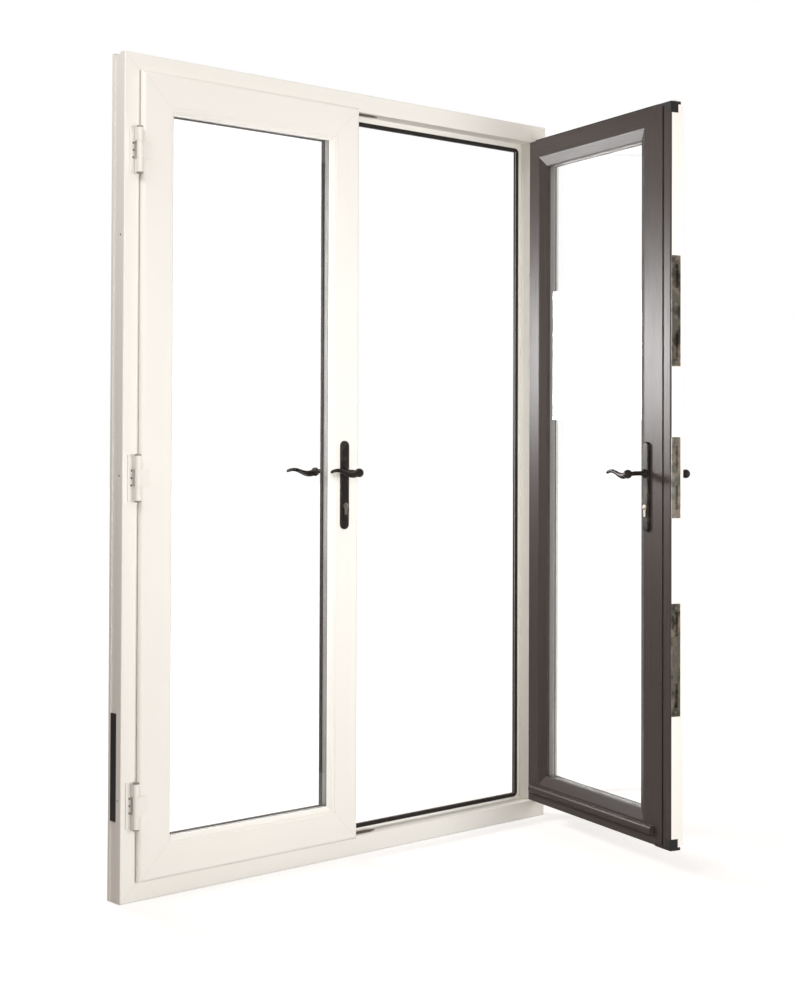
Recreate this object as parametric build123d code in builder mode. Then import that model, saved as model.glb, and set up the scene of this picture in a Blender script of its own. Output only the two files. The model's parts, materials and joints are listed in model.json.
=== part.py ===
from build123d import *
import os
from collections import namedtuple
from math import cos, pi, radians, sin

# A pair of glazed plastic door leaves that swing into the room, in their outer frame.
# The frame stands in XZ, the room is on the -Y side, and the right leaf is stored open.

# Outer frame, in millimetres
frame_width = 1525.0
frame_height = 2090.0
frame_depth = 62.0
frame_face = 51.0
stop_height = 26.0
threshold_stop_height = 18.0
stop_thickness = 10.0
stop_round = 3.0
face_round = 3.0
back_step_width = 5.0
back_step_depth = 6.0
groove_width = 26.0
groove_depth = 3.0
groove_from_room = 21.0
frame_seal_width = 11.0
frame_seal_thickness = 2.0
frame_seal_corner = 14.0
fixing_hole_radius = 3.5
fixing_depth = 16.0
fixing_low = 250.0
fixing_middle = 1045.0
fixing_high = 1638.0
packer_bottom = 198.0
packer_length = 264.0
packer_thickness = 2.5
bolt_keep_length = 88.0
bolt_keep_point = 26.0
bolt_keep_width = 20.0
bolt_keep_thickness = 2.0
bolt_keep_from_room = 24.0
bolt_hole_radius = 5.5

# Leaves: room-side flange, body, glazing rebate, and exterior lip with its moulding
leaf_overlap = 8.0
leaf_lift = 5.0
leaf_clearance = 5.0
flange_width = 18.0
flange_thickness = 12.0
edge_round = 9.0
leaf_depth = 62.0
rebate_from_edge = 82.0
lip_width = 18.0
lip_thickness = 8.0
lip_recess = 12.0
lip_round = 3.0
moulding_width = 30.0
moulding_round = 12.0
bead_width = 18.0
bead_top = 2.0
bead_bevel = 10.0
pane_thickness = 4.0
pane_cavity = 16.0
pane_edge_clearance = 4.0
seal_thickness = 2.0
spacer_width = 12.0
drip_height = 24.0
drip_reach = 15.0
drip_round = 10.0
drip_above_body = 26.0
drip_from_stop = 7.0
drip_from_body_edge = 5.0
opening_angle = 74.0

# Meeting edges: lock faceplate on the left leaf, false mullion and keeps on the right
meeting_offset = 7.0
meeting_gap = 11.0
meeting_seal_thickness = 4.0
meeting_seal_width = 10.0
meeting_seal_from_face = 3.0
faceplate_width = 20.0
faceplate_thickness = 2.5
faceplate_length = 1760.0
mullion_width = 69.0
mullion_depth = 32.0
mullion_web_gap = 6.5
mullion_groove_from_body = 31.0
mullion_groove_width = 8.0
mullion_groove_depth = 3.0
mullion_edge_round = 4.0
mullion_cap_thickness = 8.0
mullion_cap_proud = 2.0
mullion_cap_block_height = 22.0
mullion_cap_block_width = 22.0
mullion_cap_block_depth = 24.0
keep_width = 28.0
keep_thickness = 2.0
keep_lower_bottom = 414.0
keep_lower_length = 295.0
keep_middle_bottom = 933.0
keep_middle_length = 213.0
keep_upper_bottom = 1332.0
keep_upper_length = 292.0
hook_slot_length = 64.0
hook_slot_width = 13.0
hook_slot_depth = 10.0
hook_slot_from_end = 54.0

# Hinges
hinge_from_frame_edge = 31.0
hinge_from_frame_face = 21.0
hinge_low = 238.0
hinge_middle = 1040.0
hinge_high = 1847.0
hinge_length = 114.0
knuckle_radius = 8.0
knuckle_length = 44.0
knuckle_gap = 0.5
pin_radius = 4.0
pin_clearance = 0.05
frame_flag_width = 18.0
frame_flag_thickness = 4.0
leaf_flag_width = 13.0
leaf_flag_thickness = 4.0

# Handles
spindle_height = 1049.0
handle_from_body = 36.0
plate_length = 240.0
plate_width = 28.0
plate_thickness = 8.0
plate_edge_bevel = 2.5
plate_above_spindle = 84.0
cylinder_below_spindle = 92.0
cylinder_radius = 8.5
cylinder_tail_width = 10.0
cylinder_tail_drop = 20.0
cylinder_proud = 2.0
cylinder_clearance = 0.5
spindle_side = 8.0
spindle_hole_radius = 6.5
rose_radius = 11.5
rose_length = 12.0
neck_radius = 6.0
neck_reach = 56.0
lever_plate_gap = 1.0
boss_radius = 10.0
boss_length = 20.0
boss_bevel = 5.0
arm_length = 101.0
arm_wave = 5.5
arm_root_height = 13.0
arm_tip_height = 8.0
arm_thickness = 9.0
arm_steps = 14

# Worked out from the sizes above
leaf_margin = frame_face - leaf_overlap
leaf_bottom = leaf_margin + leaf_lift
leaf_top = frame_height - leaf_margin
body_bottom = leaf_bottom + flange_width
body_top = leaf_top - flange_width
left_width = frame_width / 2 - leaf_margin - meeting_offset
mullion_end = frame_width - 2 * leaf_margin - left_width + flange_width - meeting_gap
right_width = mullion_end - mullion_width + flange_width
leaf_room_face = -frame_depth / 2 - leaf_clearance - flange_thickness
hinge_depth = -frame_depth / 2 - hinge_from_frame_face
stop_depth = frame_depth - stop_thickness
lip_edge = rebate_from_edge + lip_width
lip_depth = leaf_depth - lip_recess - lip_thickness
inner_pane_depth = lip_depth - seal_thickness - 2 * pane_thickness - pane_cavity
bead_depth = inner_pane_depth - seal_thickness
cylinder_height = spindle_height - cylinder_below_spindle
plate_height = spindle_height + plate_above_spindle - plate_length / 2
hinge_heights = (hinge_low, hinge_middle, hinge_high)
fixing_heights = (fixing_low, fixing_middle, fixing_high)
keep_spans = {
    "lower": (keep_lower_bottom, keep_lower_length),
    "middle": (keep_middle_bottom, keep_middle_length),
    "upper": (keep_upper_bottom, keep_upper_length),
}
up = Vector(0, 0, 1)

# A base holds a corner point and two directions: along the width, and outward to the exterior
Base = namedtuple("Base", "origin along outward")


def leaf_base(hand, opening):
    """Base of a leaf: hinge-side edge of its room face. Hand is 1 on the left and -1 on the right."""
    turn = -hand * radians(opening)
    along = Vector(hand * cos(turn), hand * sin(turn), 0)
    outward = Vector(-sin(turn), cos(turn), 0)
    axis_point = Vector(hand * (hinge_from_frame_edge - frame_width / 2), hinge_depth, 0)
    edge_from_axis = leaf_margin - hinge_from_frame_edge
    origin = axis_point + along * edge_from_axis + outward * (leaf_room_face - hinge_depth)
    return Base(origin, along, outward)


def place(base, along, depth, height):
    """Point at a distance along the width, in depth from the room face, and up."""
    return base.origin + base.along * along + base.outward * depth + up * height


def upright_plane(base, along, depth, height):
    """Plane of the leaf's face, with x along the width and y up."""
    return Plane(place(base, along, depth, height), x_dir=base.along, z_dir=base.along.cross(up))


def level_plane(base, along, depth, height):
    """Horizontal plane, with x along the width and y outward."""
    return Plane(place(base, along, depth, height), x_dir=base.along, z_dir=base.along.cross(base.outward))


def save(builder, node):
    """Label a finished piece and write it."""
    builder.part.label = node
    export_step(builder.part, "parts/" + node + ".step")


def bar(base, corner, size, height_from, height_to, mode=Mode.ADD):
    """Upright bar: rectangle by corner and size (along, depth) between two heights, for use inside a part."""
    middle_height = (height_from + height_to) / 2
    with BuildSketch(level_plane(base, corner[0], corner[1], middle_height)) as section:
        Rectangle(*size, align=(Align.MIN, Align.MIN))
    extrude(section.sketch, amount=(height_to - height_from) / 2, both=True, mode=mode)


def mitred_member(base, side, outline, rounds, width, bottom, top, low_reach=None):
    """One side of a mitred rectangle: an outline (inward, depth) run along the side and cut at 45 degrees.

    Rounds pairs a corner of the outline with its radius. An upright's foot can meet a lower sill.
    """
    reach = max(point[0] for point in outline)
    inward = {"near": base.along, "far": base.along * -1, "bottom": up, "top": up * -1}[side]
    half = width / 2 if side in ("near", "far") else (top - bottom) / 2
    origin = place(base, width / 2, 0, (bottom + top) / 2) - inward * half
    foot = [(reach, bottom + reach)]
    if low_reach is not None:
        foot = [(reach, bottom + low_reach), (low_reach, bottom + low_reach)]
    upright = [(0, bottom), (0, top), (reach, top - reach)] + foot
    corners = {
        "near": upright,
        "far": [(width - across, height) for across, height in upright],
        "bottom": [(0, bottom), (width, bottom), (width - reach, bottom + reach), (reach, bottom + reach)],
        "top": [(0, top), (width, top), (width - reach, top - reach), (reach, top - reach)],
    }[side]
    with BuildPart() as member:
        with BuildSketch(Plane(origin, x_dir=inward, z_dir=inward.cross(base.outward))) as section:
            with BuildLine():
                Polyline(*outline, close=True)
            make_face()
            for corner, radius in rounds:
                fillet(section.vertices().sort_by_distance((corner[0], corner[1], 0))[0], radius)
        extrude(amount=max(width, top - bottom), both=True)
        with BuildSketch(upright_plane(base, 0, 0, 0)):
            with BuildLine():
                Polyline(*corners, close=True)
            make_face()
        extrude(amount=2 * frame_depth, both=True, mode=Mode.INTERSECT)
    return member.part


def ring(base, width, bottom, top, inset, band, depth, thickness):
    """Rectangular ring of a thin strip, inset from a rectangle's edge, for use inside a part."""
    centre = upright_plane(base, width / 2, depth, (bottom + top) / 2)
    across = width - 2 * inset
    tall = top - bottom - 2 * inset
    with BuildSketch(centre) as strip:
        Rectangle(across, tall)
        Rectangle(across - 2 * band, tall - 2 * band, mode=Mode.SUBTRACT)
    extrude(strip.sketch, amount=thickness, dir=base.outward)


os.makedirs("parts", exist_ok=True)

# Outer frame: four members, mitred and welded; the threshold's stop is lower than the others
frame = Base(Vector(-frame_width / 2, -frame_depth / 2, 0), Vector(1, 0, 0), Vector(0, 1, 0))
frame_reach = frame_face + stop_height
threshold_reach = frame_face + threshold_stop_height


def frame_outline(reach, grooved):
    """Frame section (inward, depth): room face, rebate, stop, stepped back edge and packer groove."""
    outline = [
        (0, 0),
        (frame_face, 0),
        (frame_face, stop_depth),
        (reach, stop_depth),
        (reach, frame_depth),
        (back_step_width, frame_depth),
        (back_step_width, frame_depth - back_step_depth),
        (0, frame_depth - back_step_depth),
    ]
    if grooved:
        outline += [
            (0, groove_from_room + groove_width),
            (groove_depth, groove_from_room + groove_width),
            (groove_depth, groove_from_room),
            (0, groove_from_room),
        ]
    return outline


frame_sides = {"left_jamb": "near", "right_jamb": "far", "head": "top", "threshold": "bottom"}
for node, side in frame_sides.items():
    side_reach = threshold_reach if side == "bottom" else frame_reach
    side_outline = frame_outline(side_reach, side != "bottom")
    side_rounds = [
        ((0, 0), face_round),
        ((frame_face, 0), face_round),
        ((side_reach, frame_depth), stop_round),
    ]
    low_reach = threshold_reach if side in ("near", "far") else None
    with BuildPart() as frame_member:
        add(mitred_member(frame, side, side_outline, side_rounds, frame_width, 0, frame_height, low_reach))
        if side in ("near", "far"):
            jamb_x = -frame_width / 2 if side == "near" else frame_width / 2
            with BuildSketch(Plane.YZ.offset(jamb_x)):
                with Locations(*[(fixing_depth - frame_depth / 2, height) for height in fixing_heights]):
                    Circle(fixing_hole_radius)
            extrude(amount=2 * frame_face, both=True, mode=Mode.SUBTRACT)
    save(frame_member, node)

# Black rubber seal along the inner edge of the stop, on its room face
seal_across = frame_width - 2 * frame_reach + 2 * frame_seal_width
seal_tall = frame_height - frame_reach - threshold_reach + 2 * frame_seal_width
seal_middle = (frame_height + threshold_reach - frame_reach) / 2
with BuildPart() as frame_gasket:
    seal_plane = upright_plane(frame, frame_width / 2, stop_depth - frame_seal_thickness, seal_middle)
    with BuildSketch(seal_plane) as seal_strip:
        RectangleRounded(seal_across, seal_tall, frame_seal_corner)
        Rectangle(seal_across - 2 * frame_seal_width, seal_tall - 2 * frame_seal_width, mode=Mode.SUBTRACT)
    extrude(seal_strip.sketch, amount=frame_seal_thickness, dir=frame.outward)
save(frame_gasket, "frame_gasket")

# Dark packing strip in the left jamb's back groove
with BuildPart() as jamb_packer:
    bar(frame, (groove_depth - packer_thickness, groove_from_room), (packer_thickness, groove_width),
        packer_bottom, packer_bottom + packer_length)
save(jamb_packer, "jamb_packer")

# Metal keeps for the right leaf's bolts, in the head and the threshold, with a pointed end
bolt_keep_start = leaf_margin + left_width + meeting_gap
keep_flank = bolt_keep_length - bolt_keep_point
with BuildPart() as bolt_keeps:
    for level in (frame_face, frame_height - frame_face - bolt_keep_thickness):
        with BuildSketch(level_plane(frame, bolt_keep_start, bolt_keep_from_room, level)) as bolt_plate:
            with BuildLine():
                Polyline((0, -bolt_keep_width / 2), (keep_flank, -bolt_keep_width / 2), (bolt_keep_length, 0),
                         (keep_flank, bolt_keep_width / 2), (0, bolt_keep_width / 2), close=True)
            make_face()
            with Locations((keep_flank / 2, 0)):
                Circle(bolt_hole_radius, mode=Mode.SUBTRACT)
        extrude(bolt_plate.sketch, amount=bolt_keep_thickness)
save(bolt_keeps, "bolt_keeps")


def sash_outline():
    """Leaf section (inward, depth): flange, room face, rebate, exterior lip, moulding and body edge."""
    return [
        (0, flange_thickness),
        (0, 0),
        (rebate_from_edge, 0),
        (rebate_from_edge, lip_depth),
        (lip_edge, lip_depth),
        (lip_edge, leaf_depth - lip_recess),
        (lip_edge - moulding_width, leaf_depth),
        (flange_width, leaf_depth),
        (flange_width, flange_thickness),
    ]


sash_rounds = [
    ((0, 0), edge_round),
    ((lip_edge, leaf_depth - lip_recess), lip_round),
    ((lip_edge - moulding_width, leaf_depth), moulding_round),
]


def bead_outline():
    """Bevelled glazing bead on the room side, from the rebate's side to the sight line."""
    return [
        (rebate_from_edge, bead_top),
        (lip_edge - bead_bevel, bead_top),
        (lip_edge, bead_top + bead_bevel),
        (lip_edge, bead_depth),
        (rebate_from_edge, bead_depth),
    ]


def euro_profile(clearance):
    """Lock cylinder's outline: a round plug with a straight tail under it, for use inside a sketch."""
    Circle(cylinder_radius + clearance)
    with Locations((0, -cylinder_tail_drop / 2)):
        SlotOverall(cylinder_tail_drop + cylinder_tail_width + 2 * clearance,
                    cylinder_tail_width + 2 * clearance, rotation=90)


def lock_bores(base, along):
    """Holes through a stile or a backplate for the spindle and the lock cylinder, for use inside a part."""
    with BuildSketch(upright_plane(base, along, 0, spindle_height)) as spindle_hole:
        Circle(spindle_hole_radius)
    extrude(spindle_hole.sketch, amount=2 * leaf_depth, both=True, mode=Mode.SUBTRACT)
    with BuildSketch(upright_plane(base, along, 0, cylinder_height)) as cylinder_hole:
        euro_profile(cylinder_clearance)
    extrude(cylinder_hole.sketch, amount=2 * leaf_depth, both=True, mode=Mode.SUBTRACT)


def hook_slots(base, edge, middle_depth, reach):
    """Pockets for the lock's hooks, one near each end of every keep, cut inward from an edge, in a part."""
    for keep_bottom, keep_length in keep_spans.values():
        for height in (keep_bottom + hook_slot_from_end, keep_bottom + keep_length - hook_slot_from_end):
            bar(base, (edge - reach, middle_depth - hook_slot_width / 2), (2 * reach, hook_slot_width),
                height - hook_slot_length / 2, height + hook_slot_length / 2, Mode.SUBTRACT)


def drip_bar(base, width):
    """Weather bar: a rounded strip along the foot of the exterior face, for use inside a part."""
    start = frame_reach - leaf_margin + drip_from_stop
    end = width - flange_width - drip_from_body_edge
    middle = body_bottom + drip_above_body + drip_height / 2
    section_plane = Plane(place(base, start, leaf_depth, middle), x_dir=base.outward, z_dir=base.along)
    with BuildSketch(section_plane) as section:
        Rectangle(drip_reach, drip_height, align=(Align.MIN, Align.CENTER))
        fillet(section.vertices().group_by(Axis.X)[-1], drip_round)
    extrude(section.sketch, amount=end - start, dir=base.along)


def make_leaf(name, base, width):
    """Glazed leaf without its lock stile: stile, rails, beads, panes, spacer and glazing seal."""
    sides = {"hinge_stile": "near", "top_rail": "top", "bottom_rail": "bottom"}
    for piece, side in sides.items():
        with BuildPart() as member:
            add(mitred_member(base, side, sash_outline(), sash_rounds, width, leaf_bottom, leaf_top))
            if side == "bottom":
                drip_bar(base, width)
        save(member, name + "_" + piece)
    with BuildPart() as beads:
        for side in ("near", "far", "bottom", "top"):
            add(mitred_member(base, side, bead_outline(), [], width, leaf_bottom, leaf_top))
    save(beads, name + "_beads")

    pane_inset = rebate_from_edge + pane_edge_clearance
    pane_across = width - 2 * pane_inset
    pane_tall = leaf_top - leaf_bottom - 2 * pane_inset
    outer_pane_depth = inner_pane_depth + pane_thickness + pane_cavity
    with BuildPart() as panes:
        for depth in (inner_pane_depth, outer_pane_depth):
            with BuildSketch(upright_plane(base, width / 2, depth, (leaf_bottom + leaf_top) / 2)):
                Rectangle(pane_across, pane_tall)
            extrude(amount=pane_thickness, dir=base.outward)
    save(panes, name + "_glass")
    with BuildPart() as spacer:
        ring(base, width, leaf_bottom, leaf_top, pane_inset, spacer_width,
             inner_pane_depth + pane_thickness, pane_cavity)
    save(spacer, name + "_spacer")
    with BuildPart() as seal:
        band = lip_edge - pane_inset
        for depth in (bead_depth, lip_depth - seal_thickness):
            ring(base, width, leaf_bottom, leaf_top, pane_inset, band, depth, seal_thickness)
    save(seal, name + "_glazing_seal")


def make_hinges(name, base, hand):
    """Three flag hinges: flags with pins on the frame, and flags with middle knuckles on the leaf."""
    edge_from_axis = leaf_margin - hinge_from_frame_edge
    axis_depth = hinge_depth - leaf_room_face
    fixed = Base(Vector(hand * (hinge_from_frame_edge - frame_width / 2), hinge_depth, 0),
                 Vector(hand, 0, 0), Vector(0, 1, 0))
    with BuildPart() as frame_flags:
        for height in hinge_heights:
            bar(fixed, (-frame_flag_width, hinge_from_frame_face - frame_flag_thickness),
                (frame_flag_width + knuckle_radius / 2, frame_flag_thickness),
                height - hinge_length / 2, height + hinge_length / 2)
            outer_length = (hinge_length - knuckle_length) / 2 - knuckle_gap
            for direction in (-1, 1):
                start = height + direction * (knuckle_length / 2 + knuckle_gap)
                with BuildSketch(level_plane(fixed, 0, 0, start)):
                    Circle(knuckle_radius)
                    with Locations((0, hinge_from_frame_face / 2)):
                        Rectangle(knuckle_radius, hinge_from_frame_face)
                extrude(amount=outer_length, dir=up * direction)
            with BuildSketch(level_plane(fixed, 0, 0, height)):
                Circle(pin_radius)
            extrude(amount=knuckle_length / 2 + knuckle_gap, both=True)
    save(frame_flags, name + "_hinge_frame_flags")
    with BuildPart() as leaf_flags:
        for height in hinge_heights:
            bar(base, (-edge_from_axis, -leaf_flag_thickness),
                (edge_from_axis + edge_round + leaf_flag_width, leaf_flag_thickness),
                height - knuckle_length / 2, height + knuckle_length / 2)
            with BuildSketch(level_plane(base, -edge_from_axis, axis_depth, height)):
                Circle(knuckle_radius)
            extrude(amount=knuckle_length / 2, both=True)
            with BuildSketch(level_plane(base, -edge_from_axis, axis_depth, height)):
                Circle(pin_radius + pin_clearance)
            extrude(amount=hinge_length, both=True, mode=Mode.SUBTRACT)
    save(leaf_flags, name + "_hinge_leaf_flags")


def make_backplate(node, base, along, face_depth, facing):
    """Long backplate with round ends on one face of a leaf, with its spindle hole and cylinder hole."""
    with BuildPart() as plate:
        with BuildSketch(upright_plane(base, along, face_depth, plate_height)):
            SlotOverall(plate_length, plate_width, rotation=90)
        extrude(amount=plate_thickness, dir=facing)
        front = plate.faces().sort_by(Axis((0, 0, 0), facing))[-1]
        chamfer(front.outer_wire().edges(), plate_edge_bevel)
        lock_bores(base, along)
    save(plate, node)


def make_lever(node, base, along, face_depth, facing, with_spindle):
    """Wave-shaped lever: a rose and neck out of the backplate, a round boss, and a tapering arm.

    The arm's middle line dips and rises by one sine wave from the boss to the tip. One lever of a pair
    carries the square spindle that passes through the leaf to the other.
    """
    side = 1 if (facing - base.outward).length < 1 else -1
    neck_start = face_depth + side * (plate_thickness + lever_plate_gap)
    neck_foot = place(base, along, neck_start, spindle_height)
    boss_centre = neck_foot + facing * neck_reach
    boss_start = neck_reach - boss_length / 2
    boss_end = neck_reach + boss_length / 2
    turned_outline = [
        (0, 0),
        (rose_radius, 0),
        (neck_radius, rose_length),
        (neck_radius, boss_start),
        (boss_radius, boss_start + boss_bevel),
        (boss_radius, boss_end - boss_bevel),
        (boss_radius - boss_bevel, boss_end),
        (0, boss_end),
    ]
    arm_direction = base.along * -1
    stations = [arm_length * step / arm_steps for step in range(arm_steps + 1)]
    middle = [-arm_wave * sin(2 * pi * station / arm_length) for station in stations]
    half = [(arm_root_height + (arm_tip_height - arm_root_height) * station / arm_length) / 2
            for station in stations]
    upper_edge = [(station, height + rise) for station, height, rise in zip(stations, middle, half)]
    lower_edge = [(station, height - rise) for station, height, rise in zip(stations, middle, half)]
    with BuildPart() as lever:
        with BuildSketch(Plane(neck_foot, x_dir=base.along, z_dir=base.along.cross(facing))):
            with BuildLine():
                Polyline(*turned_outline, close=True)
            make_face()
        revolve(axis=Axis(neck_foot, facing))
        with BuildSketch(Plane(boss_centre, x_dir=arm_direction, z_dir=arm_direction.cross(up))):
            with BuildLine():
                Polyline(*upper_edge, *reversed(lower_edge), close=True)
            make_face()
        extrude(amount=arm_thickness / 2, both=True)
        if with_spindle:
            with BuildSketch(upright_plane(base, along, neck_start, spindle_height)):
                Rectangle(spindle_side, spindle_side)
            extrude(amount=leaf_depth + 2 * (plate_thickness + lever_plate_gap), dir=facing * -1)
    save(lever, node)


def make_handles(name, base, along):
    """Backplates, levers, spindle and lock cylinder of one leaf."""
    room_side = base.outward * -1
    make_backplate(name + "_room_plate", base, along, 0, room_side)
    make_backplate(name + "_outer_plate", base, along, leaf_depth, base.outward)
    make_lever(name + "_room_lever", base, along, 0, room_side, with_spindle=True)
    make_lever(name + "_outer_lever", base, along, leaf_depth, base.outward, with_spindle=False)
    with BuildPart() as cylinder:
        cylinder_reach = leaf_depth / 2 + plate_thickness + cylinder_proud
        with BuildSketch(upright_plane(base, along, leaf_depth / 2, cylinder_height)):
            euro_profile(0)
        extrude(amount=cylinder_reach, both=True)
    save(cylinder, name + "_cylinder")


# Left leaf, closed. The lock's faceplate lies flush in a groove of its meeting edge.
left = leaf_base(1, 0)
left_edge = left_width - flange_width
left_handle = left_edge - handle_from_body
channel_middle = (flange_thickness + leaf_depth) / 2
faceplate_bottom = (leaf_bottom + leaf_top - faceplate_length) / 2
faceplate_top = faceplate_bottom + faceplate_length
faceplate_corner = (left_edge - faceplate_thickness, channel_middle - faceplate_width / 2)
make_leaf("left", left, left_width)
make_hinges("left", left, 1)
make_handles("left", left, left_handle)
with BuildPart() as left_lock_stile:
    add(mitred_member(left, "far", sash_outline(), sash_rounds, left_width, leaf_bottom, leaf_top))
    lock_bores(left, left_handle)
    bar(left, faceplate_corner, (faceplate_thickness, faceplate_width), faceplate_bottom, faceplate_top,
        Mode.SUBTRACT)
    hook_slots(left, left_edge, channel_middle, hook_slot_depth)
save(left_lock_stile, "left_lock_stile")
with BuildPart() as lock_faceplate:
    bar(left, faceplate_corner, (faceplate_thickness, faceplate_width), faceplate_bottom, faceplate_top)
    hook_slots(left, left_edge, channel_middle, hook_slot_depth)
save(lock_faceplate, "left_lock_faceplate")

# Black seal on the left leaf's meeting edge, near the exterior face
with BuildPart() as meeting_seal:
    bar(left, (left_edge, leaf_depth - meeting_seal_from_face - meeting_seal_width),
        (meeting_seal_thickness, meeting_seal_width), body_bottom, body_top)
save(meeting_seal, "left_meeting_seal")

# Right leaf, stored open
right = leaf_base(-1, opening_angle)
right_edge = right_width - flange_width
right_handle = right_edge - handle_from_body
make_leaf("right", right, right_width)
make_hinges("right", right, -1)
make_handles("right", right, right_handle)
with BuildPart() as right_lock_stile:
    add(mitred_member(right, "far", sash_outline(), sash_rounds, right_width, leaf_bottom, leaf_top))
    lock_bores(right, right_handle)
save(right_lock_stile, "right_lock_stile")

# False mullion on the right leaf's meeting edge: an exterior bar with a groove and a web behind the flange.
# Its ends are notched for the blocks of the black caps, and its edge has pockets for the lock's hooks.
mullion_bottom = body_bottom - mullion_cap_proud + mullion_cap_thickness
mullion_top = body_top + mullion_cap_proud - mullion_cap_thickness
mullion_room_face = leaf_depth - mullion_depth
web_end = frame_width - 2 * leaf_margin - left_width - mullion_web_gap
block_corner = (mullion_end - mullion_cap_block_width, leaf_depth - mullion_cap_block_depth)
block_size = (mullion_cap_block_width, mullion_cap_block_depth)
keep_depth_middle = mullion_room_face + mullion_depth / 2
with BuildPart() as false_mullion:
    with BuildSketch(level_plane(right, right_edge, mullion_room_face, mullion_bottom)) as mullion_section:
        Rectangle(mullion_width, mullion_depth, align=(Align.MIN, Align.MIN))
        fillet(mullion_section.vertices().sort_by_distance((mullion_width, mullion_depth, 0))[0],
               mullion_edge_round)
        with Locations((mullion_groove_from_body, mullion_depth)):
            Rectangle(mullion_groove_width, 2 * mullion_groove_depth, align=(Align.MIN, Align.CENTER),
                      mode=Mode.SUBTRACT)
    extrude(mullion_section.sketch, amount=mullion_top - mullion_bottom, dir=up)
    bar(right, (right_edge, flange_thickness), (web_end - right_edge, mullion_room_face - flange_thickness),
        mullion_bottom, mullion_top)
    for notch_bottom in (mullion_bottom, mullion_top - mullion_cap_block_height):
        notch_top = notch_bottom + mullion_cap_block_height
        bar(right, block_corner, block_size, notch_bottom, notch_top, Mode.SUBTRACT)
    hook_slots(right, mullion_end, keep_depth_middle, hook_slot_depth)
save(false_mullion, "right_false_mullion")
with BuildPart() as mullion_caps:
    for end, direction in ((mullion_bottom, -1), (mullion_top, 1)):
        with BuildSketch(level_plane(right, right_edge, mullion_room_face, end)) as cap_plate:
            Rectangle(mullion_width, mullion_depth, align=(Align.MIN, Align.MIN))
        extrude(cap_plate.sketch, amount=mullion_cap_thickness, dir=up * direction)
        with BuildSketch(level_plane(right, *block_corner, end)) as cap_block:
            Rectangle(*block_size, align=(Align.MIN, Align.MIN))
        extrude(cap_block.sketch, amount=mullion_cap_block_height, dir=up * -direction)
save(mullion_caps, "right_mullion_caps")

# Metal keeps on the mullion's edge, with slots for the hooks
for name, (keep_bottom, keep_length) in keep_spans.items():
    with BuildPart() as keep:
        bar(right, (mullion_end, keep_depth_middle - keep_width / 2), (keep_thickness, keep_width),
            keep_bottom, keep_bottom + keep_length)
        hook_slots(right, mullion_end, keep_depth_middle, hook_slot_depth)
    save(keep, "right_keep_" + name)
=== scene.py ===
import json
import math

import bmesh
import bpy
import numpy as np
from mathutils import Matrix, Vector


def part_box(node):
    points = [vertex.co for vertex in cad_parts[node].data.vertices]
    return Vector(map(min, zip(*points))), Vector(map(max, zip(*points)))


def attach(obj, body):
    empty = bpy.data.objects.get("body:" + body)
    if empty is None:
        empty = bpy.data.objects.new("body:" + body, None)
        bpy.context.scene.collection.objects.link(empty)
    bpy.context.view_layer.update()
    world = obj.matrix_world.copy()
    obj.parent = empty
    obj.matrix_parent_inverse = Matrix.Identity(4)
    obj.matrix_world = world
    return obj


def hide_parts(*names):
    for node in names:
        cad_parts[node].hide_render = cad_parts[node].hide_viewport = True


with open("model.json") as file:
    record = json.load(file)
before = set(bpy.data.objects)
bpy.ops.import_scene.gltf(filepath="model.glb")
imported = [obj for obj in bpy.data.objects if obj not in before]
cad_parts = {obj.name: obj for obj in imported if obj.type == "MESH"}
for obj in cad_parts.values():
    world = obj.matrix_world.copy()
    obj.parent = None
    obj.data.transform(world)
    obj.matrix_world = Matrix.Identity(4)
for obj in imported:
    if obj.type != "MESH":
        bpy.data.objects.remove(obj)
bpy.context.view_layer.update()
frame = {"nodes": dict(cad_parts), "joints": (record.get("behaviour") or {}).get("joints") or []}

# Outer frame: four extruded plastic members, mitred and welded at the corners.
# White plastic towards the room, with a dark brown foil on the exterior face and round the stop.
# The shader node groups that all the door's plastic shares are made here.
FRAME_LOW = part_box("left_jamb")[0]
FRAME_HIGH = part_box("right_jamb")[1]
FRAME_HALF_WIDTH = (FRAME_HIGH.x - FRAME_LOW.x) / 2
FRAME_HALF_HEIGHT = (FRAME_HIGH.z - FRAME_LOW.z) / 2
FRAME_DEPTH = FRAME_HIGH.y - FRAME_LOW.y
FRAME_FACE_WIDTH = 0.051
FRAME_STOP_DEPTH = 0.052
FOIL_RETURN = 0.0035
FOIL_EDGE = 0.0003
FOIL_PAST_FACE = 0.001
FOIL_PAST_STOP = 0.0005
WELD_WIDTH = 0.0014
WHITE_PLASTIC = (0.87, 0.860, 0.812, 1)
WHITE_PLASTIC_SHADE = (0.845, 0.828, 0.775, 1)
WELD_SHADE = (0.60, 0.55, 0.49, 1)
DARK_FOIL = (0.062, 0.050, 0.046, 1)
DARK_FOIL_PORE = (0.030, 0.023, 0.021, 1)
FOIL_WELD = (0.080, 0.070, 0.064, 1)
PROFILE_GLOSS = 0.20
RELIEF_STRENGTH = 0.6
PROFILE_RELIEF = 0.00008
WELD_SINK = -3.0
WHITE_WELD_SHARE = 0.3
FOIL_WELD_SHARE = 0.8
RIB_HEIGHT = 0.9
NO_TURN = (0, 0, 0)


def put(tree, kind, inputs=None, **settings):
    """Add a shader node, set its properties, and give each input a plain value or another node's output."""
    made = tree.nodes.new("ShaderNode" + kind)
    for name, value in settings.items():
        setattr(made, name, value)
    for name, value in (inputs or {}).items():
        if isinstance(value, bpy.types.NodeSocket):
            tree.links.new(value, made.inputs[name])
        else:
            made.inputs[name].default_value = value
    return made


def calc(tree, operation, *values):
    """Output of a Math node on one to three values or sockets."""
    return put(tree, "Math", dict(enumerate(values)), operation=operation).outputs[0]


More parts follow.
